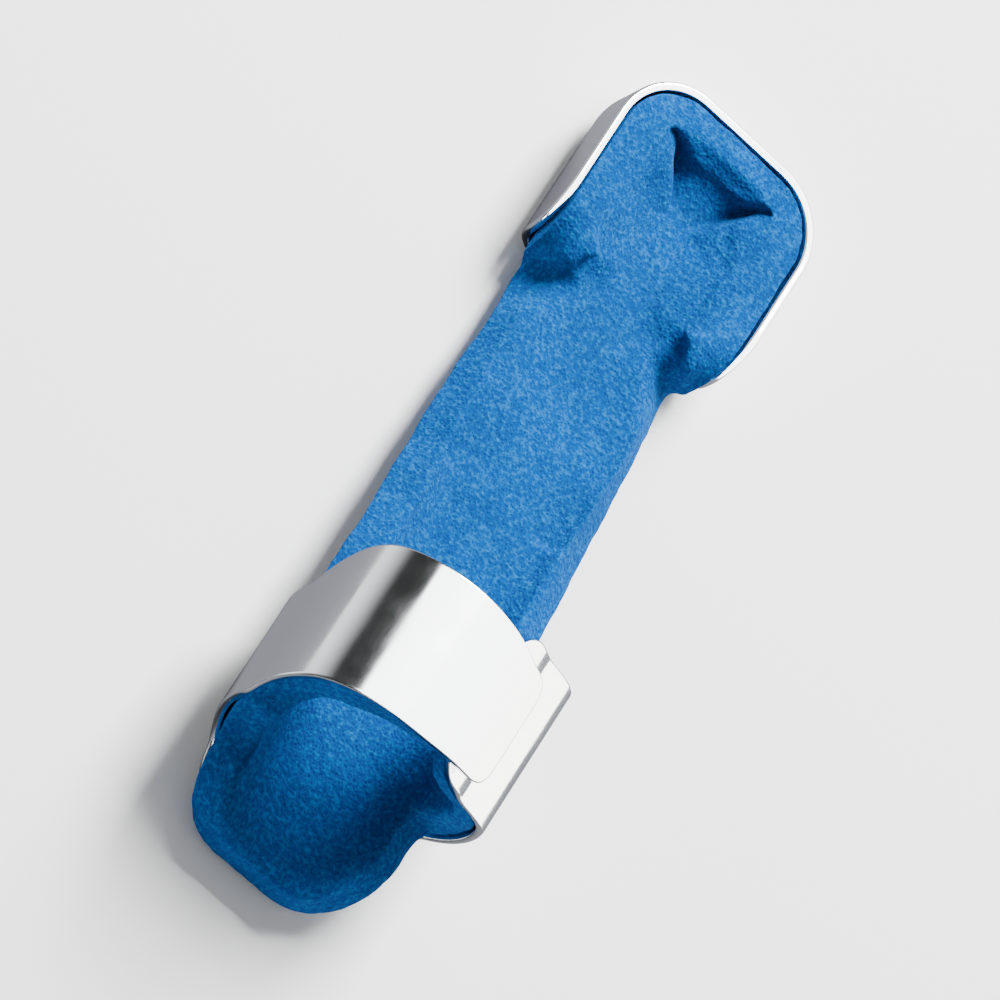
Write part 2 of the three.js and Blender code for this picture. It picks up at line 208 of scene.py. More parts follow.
def smoothstep(value, low, high):
    """0 below low, 1 above high and a smooth rise between them."""
    t = np.clip((value - low) / (high - low), 0, 1)
    return t * t * (3 - 2 * t)


def mix(low, high, share):
    """The value that lies at a share of the way from low to high."""
    return low + (high - low) * share


def right_at(s, short_of_top):
    """Distance along the right wing to the place at an angle short of the ring's top."""
    return s.ring_flat / 2 + s.ring_radius * (math.pi - short_of_top)


def blank_sizes(scene):
    """Every size of the blank, those in the sidebar and those that follow from them."""
    sheets, ring = scene.splint_sheets, scene.splint_ring
    strip, cage = scene.splint_strip, scene.splint_cage
    s = SimpleNamespace(sheets=sheets, ring=ring, strip=strip, cage=cage)
    s.overall_length = (cad_box[1] - cad_box[0]).y
    s.ring_flat = ring.width - ring.height
    s.ring_radius = ring.height / 2
    s.cage_start = s.overall_length - cage.length
    s.cage_flat = cage.width - 2 * cage.floor_bend
    bend_rise = cage.floor_bend * (1 - math.cos(cage.wall_angle))
    s.wall_straight = (cage.rim_height - bend_rise) / math.sin(cage.wall_angle)
    wall_lean = cage.floor_bend * math.sin(cage.wall_angle) + s.wall_straight * math.cos(cage.wall_angle)
    s.floor_end = s.overall_length - wall_lean
    s.wall_developed = cage.floor_bend * cage.wall_angle + s.wall_straight
    s.left_end = s.ring_flat * 1.5 + s.ring_radius * (math.pi + ring.left_past_top)
    s.right_end = right_at(s, ring.right_short_of_top)
    s.tuck_depth = sheets.metal + ring.squeezed_under_left + 2 * sheets.gap
    s.foam_outer = sheets.metal + sheets.gap
    s.ring_end = ring.start + ring.right_width
    s.strip_end = s.cage_start - cage.foam_past_end
    gutter = {"flat": strip.flat / 2, "radius": strip.edge_radius, "turn": cage.wall_angle}
    shapes = {
        "ring": {"flat": s.ring_flat / 2, "radius": s.ring_radius, "turn": math.pi},
        "gutter": gutter,
        "gutter_end": gutter,
        "cage": {"flat": s.cage_flat / 2, "radius": cage.floor_bend, "turn": cage.wall_angle},
    }
    s.sections = [
        {**shapes[name], "at": mix(s.ring_end, s.strip_end, share)}
        for name, share in SECTION_SHARES.items()
    ]
    return s


class Pen:
    """Draws one closed outline as a fine line of points."""

    arc_points = 24
    curve_points = 17
    spline_points = 13

    def __init__(self, start):
        self.points = [np.array(start, float)]

    def line(self, *end):
        self.points.append(np.array(end, float))

    def arc(self, x, y, radius, start, end):
        for a in np.linspace(math.radians(start), math.radians(end), self.arc_points):
            self.line(x + radius * math.cos(a), y + radius * math.sin(a))

    def curve(self, by, end):
        start, by, end = self.points[-1], np.array(by), np.array(end)
        for t in np.linspace(0, 1, self.curve_points)[1:]:
            self.points.append((1 - t) ** 2 * start + 2 * t * (1 - t) * by + t * t * end)

    def spline(self, stops):
        stops = [self.points[-1], *[np.array(stop) for stop in stops]]
        for i in range(len(stops) - 1):
            before, after = stops[max(i - 1, 0)], stops[min(i + 2, len(stops) - 1)]
            a, b = stops[i], stops[i + 1]
            for t in np.linspace(0, 1, self.spline_points)[1:]:
                self.points.append(a + 0.5 * (
                    (b - before) * t
                    + (2 * before - 5 * a + 4 * b - after) * t ** 2
                    + (3 * (a - b) + after - before) * t ** 3
                ))

    def evenly(self, spacing):
        """The outline's points, spread evenly along it."""
        loop = np.array([*self.points, self.points[0]])
        reach = np.concatenate([[0], np.cumsum(np.linalg.norm(np.diff(loop, axis=0), axis=1))])
        stops = np.linspace(0, reach[-1], int(reach[-1] / spacing) + 1)[:-1]
        return np.stack([np.interp(stops, reach, loop[:, i]) for i in (0, 1)], axis=1)


def left_wing_edges(s, trim):
    """Far edge of the left wing from root to free end, and its near edge back again."""
    root_x = -s.ring.tongue_half_width
    end_x = s.ring.left_end_radius + trim["wing_tip"] - s.left_end
    inset = trim["wings"] / s.ring.left_width

    def edge(row, share):
        return mix(root_x, end_x, row["along"]), s.ring.start + s.ring.left_width * share

    far = [edge(row, row["far"] - inset) for row in LEFT_WING_COURSE]
    near = [edge(row, row["near"] + inset) for row in reversed(LEFT_WING_COURSE)]
    return far, near


def outline(s, trim, spacing):
    """Flat outline of a sheet; trim says how far each stretch of it is drawn in from the blank's edge."""
    ring, cage = s.ring, s.cage
    tongue = ring.tongue_half_width - trim["tongue"]
    strip_at_ring = s.strip.half_width_at_ring - trim["strip"]
    strip = s.strip.half_width_at_cage - trim["strip"]
    right_end = s.right_end - trim["wings"]
    near_edge = ring.start + trim["wings"]
    far_edge = ring.start + ring.right_width - trim["wings"]
    lobe_start = s.cage_start + trim["wall_ends"]
    wall = s.cage_flat / 2 + s.wall_developed - trim["rim"]
    root, notch, tip = ring.root_radius, cage.notch_radius, trim["tongue"]
    tongue_r = ring.tongue_end_radius - trim["tongue"]
    right_r, left_r, lobe_r = ring.right_end_radius, ring.left_end_radius, cage.end_radius

    # Tongue tip to the right wing
    pen = Pen((0, tip))
    pen.arc(tongue - tongue_r, tip + tongue_r, tongue_r, -90, 0)
    pen.arc(tongue + root, near_edge - root, root, 180, 90)

    # Right wing
    pen.arc(right_end - right_r, near_edge + right_r, right_r, -90, 0)
    pen.arc(right_end - right_r, far_edge - right_r, right_r, 0, 90)
    pen.arc(strip_at_ring + root, far_edge + root, root, -90, -180)

    # Strip and the rim of the cage, as far outside its floor as the wall is high
    pen.arc(strip + notch, lobe_start - notch, notch, 180, 90)
    pen.arc(wall - lobe_r, lobe_start + lobe_r, lobe_r, -90, 0)
    corner_x = s.cage_flat / 2 - cage.floor_corner
    corner_y = s.floor_end - cage.floor_corner
    pen.arc(corner_x, corner_y, wall - corner_x, 0, 90)
    pen.arc(-corner_x, corner_y, wall - corner_x, 90, 180)
    pen.arc(lobe_r - wall, lobe_start + lobe_r, lobe_r, 180, 270)
    pen.arc(-strip - notch, lobe_start - notch, notch, 90, 0)

    # Left wing
    far, near = left_wing_edges(s, trim)
    pen.line(-strip_at_ring, far[0][1] + root)
    pen.curve((-strip_at_ring, far[0][1]), far[1])
    pen.spline(far[2:])
    end_x = far[-1][0] - left_r
    pen.curve((end_x, far[-1][1]), (end_x, far[-1][1] - left_r))
    pen.line(end_x, near[0][1] + left_r)
    pen.curve((end_x, near[0][1]), near[0])
    pen.spline(near[1:-1])

    # Left side of the tongue, where the wing's near edge runs into the round corner
    tongue_y = tip + tongue_r
    joins = math.asin(min(max((tongue_y - near[-1][1] + root) / tongue_r, 0), 1))
    join_x = tongue_r - tongue - tongue_r * math.cos(joins)
    pen.curve((join_x, near[-1][1]), (join_x, tongue_y - tongue_r * math.sin(joins)))
    pen.arc(tongue_r - tongue, tongue_y, tongue_r, 180 + math.degrees(joins), 270)
    return pen.evenly(spacing)


# Bending

def section_at(s, y):
    """Half the flat, radius and turn of the bend at each distance along the blank."""
    values = []
    for column in ("flat", "radius", "turn"):
        value = np.full(y.shape, float(s.sections[0][column]))
        for low, high in zip(s.sections, s.sections[1:]):
            if high[column] != low[column]:
                value += (high[column] - low[column]) * smoothstep(y, low["at"], high["at"])
        values.append(value)
    return values


def tuck_at(s, x):
    """How far the right wing lies inside the oval, where it is tucked under the left one."""
    return s.tuck_depth * smoothstep(
        x, right_at(s, s.ring.tuck_starts), right_at(s, s.ring.tuck_ends),
    )


def bent(s, x, y, depth):
    """Places of points of the flat blank after bending, at depths below the sheet's outer face."""
    cage = s.cage
    depth = depth + tuck_at(s, x)
    flat, radius, full_turn = section_at(s, y)
    across, side = np.abs(x), np.where(x < 0, -1.0, 1.0)
    corner = cage.floor_corner
    body_end = s.floor_end - corner
    at_front = (y > body_end) & (across <= flat - corner)
    at_corner = (y > body_end) & ~at_front

    # Distance past the edge of the flat floor, and the direction in which the edge faces
    corner_x, corner_y = side * (across - flat + corner), y - body_end
    reach_out = np.maximum(np.hypot(corner_x, corner_y), MIN_LENGTH)
    past = np.where(at_front, y - s.floor_end, np.where(at_corner, reach_out - corner, across - flat))
    facing_x = np.where(at_front, 0.0, np.where(at_corner, corner_x / reach_out, side))
    facing_y = np.where(at_front, 1.0, np.where(at_corner, corner_y / reach_out, 0.0))

    # Deep inside the sheet the floor shrinks, so that the bend above it keeps its round
    inner_depth = s.foam_outer + s.sheets.foam
    bend = np.maximum(radius - depth, cage.inner_bend * depth / inner_depth)
    shrink = bend - (radius - depth)
    scale = (flat - shrink) / flat
    centre_y = s.floor_end - shrink - corner * scale
    place_x = side * np.minimum(across, flat) * scale
    in_cage = mix(s.cage_start, centre_y, (y - s.cage_start) / (body_end - s.cage_start))
    place_y = np.where(y > s.cage_start, in_cage, y)
    place_y = np.where(at_front, centre_y + np.minimum(y - body_end, corner) * scale, place_y)
    corner_run = np.minimum(past + corner, corner) * scale
    place_x = np.where(at_corner, side * (flat - corner) * scale + facing_x * corner_run, place_x)
    place_y = np.where(at_corner, centre_y + facing_y * corner_run, place_y)

    # Up the bend, along the straight, and in the ring round its far side too
    beyond = np.maximum(past, 0)
    angle = np.minimum(beyond / radius, full_turn)
    top = (cage.inner_bend_top - depth) / (1 - np.cos(full_turn))
    upright = np.where(shrink > 0, np.minimum(bend, top), bend)
    reach = bend * np.sin(angle)
    rise = upright * (1 - np.cos(angle))
    straight = np.maximum(beyond - radius * full_turn, 0)
    in_ring = y < s.sections[1]["at"]
    room = np.where(in_ring, 2 * flat, s.wall_straight)
    lift = np.where(in_ring, 0, depth + rise - radius * (1 - np.cos(full_turn)))
    run = np.where(in_ring, np.minimum(straight, room), straight) * (room - lift) / room
    round_top = np.where(in_ring, np.maximum(straight - room, 0), 0) / radius
    on_straight = straight > 0
    reach = np.where(on_straight, reach + run * np.cos(full_turn) - bend * np.sin(round_top), reach)
    rise = np.where(on_straight, rise + run * np.sin(full_turn) - bend * (1 - np.cos(round_top)), rise)
    return np.stack([
        place_x + facing_x * reach,
        place_y + facing_y * reach - s.overall_length / 2,
        depth + rise,
    ], axis=1)


def bent_normals(s, x, y, depth, edge_x, edge_y, edge_turn):
    """Directions in which the bent sheet faces; edge_turn runs from 0, outer face, to pi, inner face."""
    along_x = bent(s, x + NORMAL_STEP, y, depth) - bent(s, x - NORMAL_STEP, y, depth)
    along_y = bent(s, x, y + NORMAL_STEP, depth) - bent(s, x, y - NORMAL_STEP, depth)
    inward = unit(np.cross(along_x, along_y))
    outward = unit(along_x * edge_x[:, None] + along_y * edge_y[:, None])
    return unit(outward * np.sin(edge_turn)[:, None] - inward * np.cos(edge_turn)[:, None])


def unit(vectors):
    """The same directions with length 1."""
    return vectors / np.maximum(np.linalg.norm(vectors, axis=1, keepdims=True), 1e-12)


# Meshing

def edge_directions(loop):
    """Outward directions at the points of a closed outline that runs anticlockwise."""
    along = np.roll(loop, -1, axis=0) - np.roll(loop, 1, axis=0)
    return unit(np.stack([along[:, 1], -along[:, 0]], axis=1))


def filled(loop, facet):
    """Even triangles that fill an outline: the points, the outline's own ones first, and the triangles."""
    edge_clearance = 0.75 * facet
    batches = 40
    closest = 1e-5
    low, high = loop.min(axis=0), loop.max(axis=0)
    row_step = facet * math.sqrt(3) / 2
    rows = np.arange(low[1], high[1], row_step)
    grid = np.concatenate([
        np.stack([x := np.arange(low[0] + (i % 2) * facet / 2, high[0], facet), np.full(len(x), y)], axis=1)
        for i, y in enumerate(rows)
    ])
    clearance = np.concatenate([
        np.linalg.norm(part[:, None] - loop[None], axis=2).min(axis=1)
        for part in np.array_split(grid, batches)
    ])
    points = np.concatenate([loop, grid[clearance > edge_clearance]])
    count = len(loop)
    edges = [(i, (i + 1) % count) for i in range(count)]
    scaled = [Vector(point) for point in points / MM]
    _, _, faces, sources, _, _ = geometry.delaunay_2d_cdt(scaled, edges, [], 1, closest)
    triangles = np.array([[sources[corner][0] for corner in face] for face in faces])
    used = np.unique(triangles)
    number = np.full(len(points), -1)
    number[used] = np.arange(len(used))
    return points[used], number[triangles]


def sheet_mesh(count, triangles, rings):
    """Faces of a sheet: its two faces over count flat points each, joined by rings of edge points."""
    loop_size = rings["size"]
    inner = triangles + count
    faces = [triangles[:, ::-1], inner]
    loop = np.arange(loop_size)
    levels = [loop, *[2 * count + i * loop_size + loop for i in range(rings["count"])], loop + count]
    for low, high in zip(levels, levels[1:]):
        next_low, next_high = np.roll(low, -1), np.roll(high, -1)
        faces.append(np.stack([low, next_low, next_high], axis=1))
        faces.append(np.stack([low, next_high, high], axis=1))
    return np.concatenate(faces)


def mesh_piece(name, places, faces, flat_places, material):
    """A smooth mesh object whose UV map holds each point's place on the flat blank, in metres."""
    mesh = bpy.data.meshes.new(name)
    mesh.from_pydata(places.tolist(), [], faces.tolist())
    mesh.polygons.foreach_set("use_smooth", np.ones(len(mesh.polygons), bool))
    uv = mesh.uv_layers.new(name="flat_blank")
    corners = np.zeros(len(mesh.loops), np.int32)
    mesh.loops.foreach_get("vertex_index", corners)
    uv.data.foreach_set("uv", flat_places[corners].astype(np.float32).ravel())
    mesh.materials.append(material)
    piece = bpy.data.objects.new(name, mesh)
    bpy.context.scene.collection.objects.link(piece)
    return piece


# Foam relief

def foam_thickness(s, x, y):
    """Thickness of the foam, squeezed where the wings overlap and thinner at the cage's rim."""
    ring = s.ring
    left_squeezed = s.left_end - s.ring_radius * (ring.left_past_top - ring.right_short_of_top)
    left = smoothstep(-x, left_squeezed - ring.squeeze_run, left_squeezed - s.sheets.gap)
    right_squeezed = right_at(s, ring.tuck_ends)
    right = smoothstep(x, right_squeezed - ring.squeeze_run, right_squeezed)
    thickness = mix(s.sheets.foam, ring.squeezed_under_left, left)
    thickness = mix(thickness, ring.squeezed_on_right, right)
    up_wall, _ = up_the_wall(s, x, y)
    thickness = mix(thickness, s.cage.foam_at_rim, smoothstep(up_wall, 0.5, 1))
    return thickness + pad_relief(s, x, y)


def up_the_wall(s, x, y):
    """Share of the way up the cage's wall, and the direction in which the wall faces there."""
    sideways = np.maximum(np.abs(x) - s.cage_flat / 2 + s.cage.floor_corner, 0)
    forwards = np.maximum(y - s.floor_end + s.cage.floor_corner, 0)
    share = np.clip((np.hypot(sideways, forwards) - s.cage.floor_corner) / s.wall_developed, 0, 1)
    near_end = s.cage_start - s.cage.foam_past_end
    return share * smoothstep(y, near_end, near_end + s.cage.end_radius), np.arctan2(forwards, sideways)


def pad_relief(s, x, y):
    """How far the three pads of the cage bulge, less the creases that part them."""
    up_wall, facing = up_the_wall(s, x, y)
    left, right = CREASE_ANGLES[-1], CREASE_ANGLES[1]
    at_floor, at_rim = (np.where(x > 0, right[key], left[key]) for key in ("floor", "rim"))
    from_crease = (facing - mix(at_floor, at_rim, up_wall)) / s.cage.crease_half_angle
    swell = mix(s.cage.side_swell, s.cage.end_swell, smoothstep(from_crease, -1, 1))
    crease = np.exp(-np.abs(from_crease) ** CREASE_POWER)
    return mix(swell, -s.cage.crease_depth, crease) * np.sin(np.pi * up_wall)


# Materials

def add_node(tree, kind, settings=None, links=None):
    """Adds a node; settings are its properties and socket values, links join its inputs to other sockets."""
    node = tree.nodes.new(kind)
    for name, value in (settings or {}).items():
        if isinstance(name, int) or name in node.inputs:
            node.inputs[name].default_value = value
        else:
            setattr(node, name, value)
    for name, source in (links or {}).items():
        tree.links.new(source, node.inputs[name])
    return node


def new_material(name):
    """An empty node material and its tree."""
    material = bpy.data.materials.new(name)
    material.use_nodes = True
    material.node_tree.nodes.clear()
    return material, material.node_tree


def polished_rolled_aluminium(finish):
    """Aluminium sheet, cold rolled, bright polished and bent by hand.

    The polish gives long clear reflections; faint rolling lines run along the blank, handling leaves
    patches that are a little duller, and bending leaves the faces slightly wavy.
    """
    material, tree = new_material("polished_rolled_aluminium")
    blank = add_node(tree, "ShaderNodeUVMap", {"uv_map": "flat_blank"}).outputs["UV"]
    place = add_node(tree, "ShaderNodeTexCoord").outputs["Object"]

    # Rolling lines are 0.15 mm apart and 12 mm long
    stretched = add_node(tree, "ShaderNodeMapping", {
        "Scale": (1 / (0.15 * MM), 1 / (12 * MM), 1),
    }, {"Vector": blank})
    lines = add_node(tree, "ShaderNodeTexNoise", {"Scale": 1.0, "Detail": 3.0}, {
        "Vector": stretched.outputs["Vector"],
    })

    # Dull patches about 6 mm wide
    patches = add_node(tree, "ShaderNodeTexNoise", {
        "Scale": 1 / (6 * MM), "Detail": 2.0,
    }, {"Vector": place})
    dullness = add_node(tree, "ShaderNodeMapRange", {
        "From Min": 0.35, "From Max": 0.7, "To Min": 0.07, "To Max": 0.15,
    }, {"Value": patches.outputs["Fac"]})
    grained = add_node(tree, "ShaderNodeMath", {"operation": "MULTIPLY_ADD", 1: 0.06}, {
        0: lines.outputs["Fac"], 2: dullness.outputs["Result"],
    })

    # Waves about 9 mm long, a few hundredths of a millimetre high
    waves = add_node(tree, "ShaderNodeTexNoise", {
        "Scale": 1 / (9 * MM), "Detail": 1.0,
    }, {"Vector": place})
    wavy = add_node(tree, "ShaderNodeBump", {"Strength": 0.35, "Distance": 0.05 * MM}, {
        "Height": waves.outputs["Fac"],
    })
    lined = add_node(tree, "ShaderNodeBump", {"Strength": 0.1, "Distance": 0.01 * MM}, {
        "Height": lines.outputs["Fac"], "Normal": wavy.outputs["Normal"],
    })
    shader = add_node(tree, "ShaderNodeBsdfPrincipled", {
        "Base Color": (*finish.aluminium, 1), "Metallic": 1.0,
    }, {"Roughness": grained.outputs["Value"], "Normal": lined.outputs["Normal"]})
    add_node(tree, "ShaderNodeOutputMaterial", None, {"Surface": shader.outputs["BSDF"]})
    return material


def open_cell_polyurethane_foam(finish):
    """Soft polyurethane foam, sliced from a dyed block.

    Slicing leaves open cells: matt blue with painted highlights, pale specks where a cell wall catches
    the light, and painted shade, dark specks where the eye looks into a pore.
    """
    material, tree = new_material("open_cell_polyurethane_foam")
    place = add_node(tree, "ShaderNodeTexCoord").outputs["Object"]

    # Cells are 0.38 mm wide, warped so that they don't line up
    warp = add_node(tree, "ShaderNodeTexNoise", {
        "Scale": 1 / (1.3 * MM), "Detail": 2.0,
    }, {"Vector": place})
    warped = add_node(tree, "ShaderNodeVectorMath", {"operation": "MULTIPLY_ADD", 1: (0.4 * MM,) * 3}, {
        0: warp.outputs["Color"], 2: place,
    })
    cells = add_node(tree, "ShaderNodeTexVoronoi", {"Scale": 1 / (0.38 * MM)}, {
        "Vector": warped.outputs["Vector"],
    })

    # Specks of painted highlight on the cell walls are 0.5 mm wide, and the dye is lighter or darker over 7
    # mm
    specks = add_node(tree, "ShaderNodeTexNoise", {
        "Scale": 1 / (0.5 * MM), "Detail": 3.0, "Roughness": 0.6,
    }, {"Vector": place})
    clouds = add_node(tree, "ShaderNodeTexNoise", {
        "Scale": 1 / (7 * MM), "Detail": 2.0,
    }, {"Vector": place})

    # Painted shade: pores darken towards the middle of each cell
    shade_in_pores = add_node(tree, "ShaderNodeMapRange", {
        "From Min": 0.3, "From Max": 0.05, "To Min": 0.0, "To Max": 0.75,
    }, {"Value": cells.outputs["Distance"]})
    # Painted highlight: pale specks where cell walls catch the light
    highlight_on_walls = add_node(tree, "ShaderNodeMapRange", {
        "From Min": 0.45, "From Max": 0.75, "To Min": 0.0, "To Max": 0.7,
    }, {"Value": specks.outputs["Fac"]})
    with_highlights = add_node(tree, "ShaderNodeMix", {
        "data_type": "RGBA", 6: (*finish.foam, 1), 7: (*finish.foam_wall_highlight, 1),
    }, {0: highlight_on_walls.outputs["Result"]})
    with_shaded_pores = add_node(tree, "ShaderNodeMix", {"data_type": "RGBA", 7: (*finish.foam_pore_shade, 1)}, {
        0: shade_in_pores.outputs["Result"], 6: with_highlights.outputs[2],
    })
    brightness = add_node(tree, "ShaderNodeMapRange", {
        "From Min": 0.3, "From Max": 0.7, "To Min": 0.86, "To Max": 1.12,
    }, {"Value": clouds.outputs["Fac"]})
    faded = add_node(tree, "ShaderNodeHueSaturation", None, {
        "Value": brightness.outputs["Result"], "Color": with_shaded_pores.outputs[2],
    })
    pitted = add_node(tree, "ShaderNodeBump", {"Strength": 0.8, "Distance": 0.12 * MM}, {
        "Height": cells.outputs["Distance"],
    })
    grainy = add_node(tree, "ShaderNodeBump", {"Strength": 0.6, "Distance": 0.15 * MM}, {
        "Height": specks.outputs["Fac"], "Normal": pitted.outputs["Normal"],
    })
    shader = add_node(tree, "ShaderNodeBsdfPrincipled", {
        "Roughness": 0.95, "Specular IOR Level": 0.05, "Sheen Weight": 0.04, "Sheen Roughness": 0.6,
        "Sheen Tint": (0.1, 0.45, 1.0, 1.0),
    }, {"Base Color": faded.outputs["Color"], "Normal": grainy.outputs["Normal"]})
    add_node(tree, "ShaderNodeOutputMaterial", None, {"Surface": shader.outputs["BSDF"]})
    return material


def painted_floor(finish):
    """Matt painted board, which gives a pale ground without reflections.

    The polished metal mirrors it darker than it looks: a painted reflection, where glossy rays see a grey in
    place of the board's own colour.
    """
    material, tree = new_material("painted_floor")
    place = add_node(tree, "ShaderNodeTexCoord").outputs["Object"]
    tooth = add_node(tree, "ShaderNodeTexNoise", {"Scale": 1 / (1.5 * MM)}, {"Vector": place})
    raised = add_node(tree, "ShaderNodeBump", {"Strength": 0.05, "Distance": 0.02 * MM}, {
        "Height": tooth.outputs["Fac"],
    })
    # Painted reflection: glossy rays get the darker grey, everything else gets the floor's own colour
    to_gloss = add_node(tree, "ShaderNodeLightPath").outputs["Is Glossy Ray"]
    paint = add_node(tree, "ShaderNodeMix", {
        "data_type": "RGBA", 6: (*finish.floor, 1), 7: (*finish.floor_painted_reflection, 1),
    }, {0: to_gloss})
    shader = add_node(tree, "ShaderNodeBsdfPrincipled", {"Roughness": 0.9, "Specular IOR Level": 0.1}, {
        "Base Color": paint.outputs[2], "Normal": raised.outputs["Normal"],
    })
    add_node(tree, "ShaderNodeOutputMaterial", None, {"Surface": shader.outputs["BSDF"]})
    return material


# Operators

class SPLINT_OT_shell(bpy.types.Operator):
    """Builds the bent aluminium sheet with its tumbled edges"""

    bl_idname = "splint.shell"
    bl_label = "Aluminium shell"

    facet = 0.6 * MM
    edge_steps = 6

    def execute(self, context):
        s = blank_sizes(context.scene)
        edge, metal = s.sheets.metal_edge, s.sheets.metal
        trim = {
            "tongue": s.sheets.short_of_tongue,
            "strip": s.sheets.short_of_strip,
            "wings": 0,
            "wing_tip": 0,
            "rim": 0,
            "wall_ends": 0,
        }
        loop = outline(s, trim, self.facet)
        facing = edge_directions(loop)
        flat_points, triangles = filled(loop - facing * edge, self.facet)
        count, size = len(flat_points), len(loop)

        # Two faces, then rings that go round the edge from the outer face to the inner one
        turns = np.linspace(0, math.pi, self.edge_steps + 1)[1:-1]
        ring_points = [loop + facing * edge * (math.sin(a) - 1) for a in turns]
        flat_half = metal / 2 - edge
        ring_depths = [metal / 2 - math.cos(a) * edge - np.sign(math.cos(a)) * flat_half for a in turns]
        points = np.concatenate([flat_points, flat_points, *ring_points])
        depths = np.concatenate([np.zeros(count), np.full(count, metal), np.repeat(ring_depths, size)])
        edge_turns = np.concatenate([np.zeros(count), np.full(count, math.pi), np.repeat(turns, size)])
        sideways = np.concatenate([np.zeros((2 * count, 2)), *[facing] * len(turns)])
        x, y = points.T
        places = bent(s, x, y, depths)
        faces = sheet_mesh(count, triangles, {"size": size, "count": len(turns)})
        piece = mesh_piece(
            "polished_shell", places, faces, points, polished_rolled_aluminium(context.scene.splint_finish),
        )
        piece.data.normals_split_custom_set_from_vertices(
            bent_normals(s, x, y, depths, *sideways.T, edge_turns).tolist(),
        )
        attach(piece, "root")
        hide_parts(SHELL_NODE)
        return {"FINISHED"}


class SPLINT_OT_lining(bpy.types.Operator):
    """Builds the foam lining with its swollen pads, creases and cut edges"""

    bl_idname = "splint.lining"
    bl_label = "Foam lining"

    facet = 0.5 * MM
    corner_steps = 4
    glued_corner = 0.15 * MM
    wall_steps = 6
    lump_width = 4 * MM
    lump_height = 0.12 * MM
    pore_width = 1.0 * MM
    pore_depth = 0.08 * MM

    def execute(self, context):
        s = blank_sizes(context.scene)
        edge = s.sheets.foam_edge
        trim = {
            "tongue": 0,
            "strip": 0,
            "wings": s.sheets.gap,
            "wing_tip": s.ring.foam_short_of_tip,
            "rim": s.cage.foam_below_rim,
            "wall_ends": -s.cage.foam_past_end,
        }
        loop = outline(s, trim, self.facet)
        facing = edge_directions(loop)
        flat_points, triangles = filled(loop - facing * edge, self.facet)
        count, size = len(flat_points), len(loop)
        thickness = foam_thickness(s, *flat_points.T)
        at_edge = foam_thickness(s, *loop.T)

        # Rings round the cut edge: a tight corner on the glued side, the cut, and a soft corner inside.
        # Each has its share of the edge's round outwards, its rise, and its share of the way up the cut.
        levels = []
        tight = self.glued_corner
        for a in np.linspace(0, math.pi / 2, self.corner_steps + 1):
            levels.append((1 - tight / edge * (1 - math.sin(a)), (1 - math.cos(a)) * tight, 0))
        for share in np.linspace(0, 1, self.wall_steps + 1)[1:]:
            levels.append((1, tight * (1 - share), share))
        for a in np.linspace(math.pi / 2, math.pi, self.corner_steps + 1)[1:-1]:
            levels.append((math.sin(a), -math.cos(a) * edge, 1))
        ring_points = [loop + facing * edge * (out - 1) for out, _, _ in levels]
        ring_depths = [rise + share * (at_edge - edge) for _, rise, share in levels]
        points = np.concatenate([flat_points, flat_points, *ring_points])
        depths = s.foam_outer + np.concatenate([np.zeros(count), thickness, *ring_depths])
        places = bent(s, *points.T, depths)
        faces = sheet_mesh(count, triangles, {"size": size, "count": len(levels)})
        piece = mesh_piece(
            "blue_foam", places, faces, points, open_cell_polyurethane_foam(context.scene.splint_finish),
        )
        self.roughen(piece, count)
        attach(piece, "root")
        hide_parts(LINING_NODE)
        return {"FINISHED"}

    def roughen(self, piece, glued_count):
        """Moves the open faces in and out by lumps and pores; the glued face stays smooth."""
        places = [vertex.co.copy() for vertex in piece.data.vertices]
        normals = [normal.vector.copy() for normal in piece.data.vertex_normals]
        for i in range(glued_count, len(places)):
            lump = noise.noise(places[i] / self.lump_width) * self.lump_height
            pore = noise.noise(places[i] / self.pore_width) * self.pore_depth
            places[i] += normals[i] * (lump + pore)
        piece.data.vertices.foreach_set("co", np.array(places).ravel())
        piece.data.update()


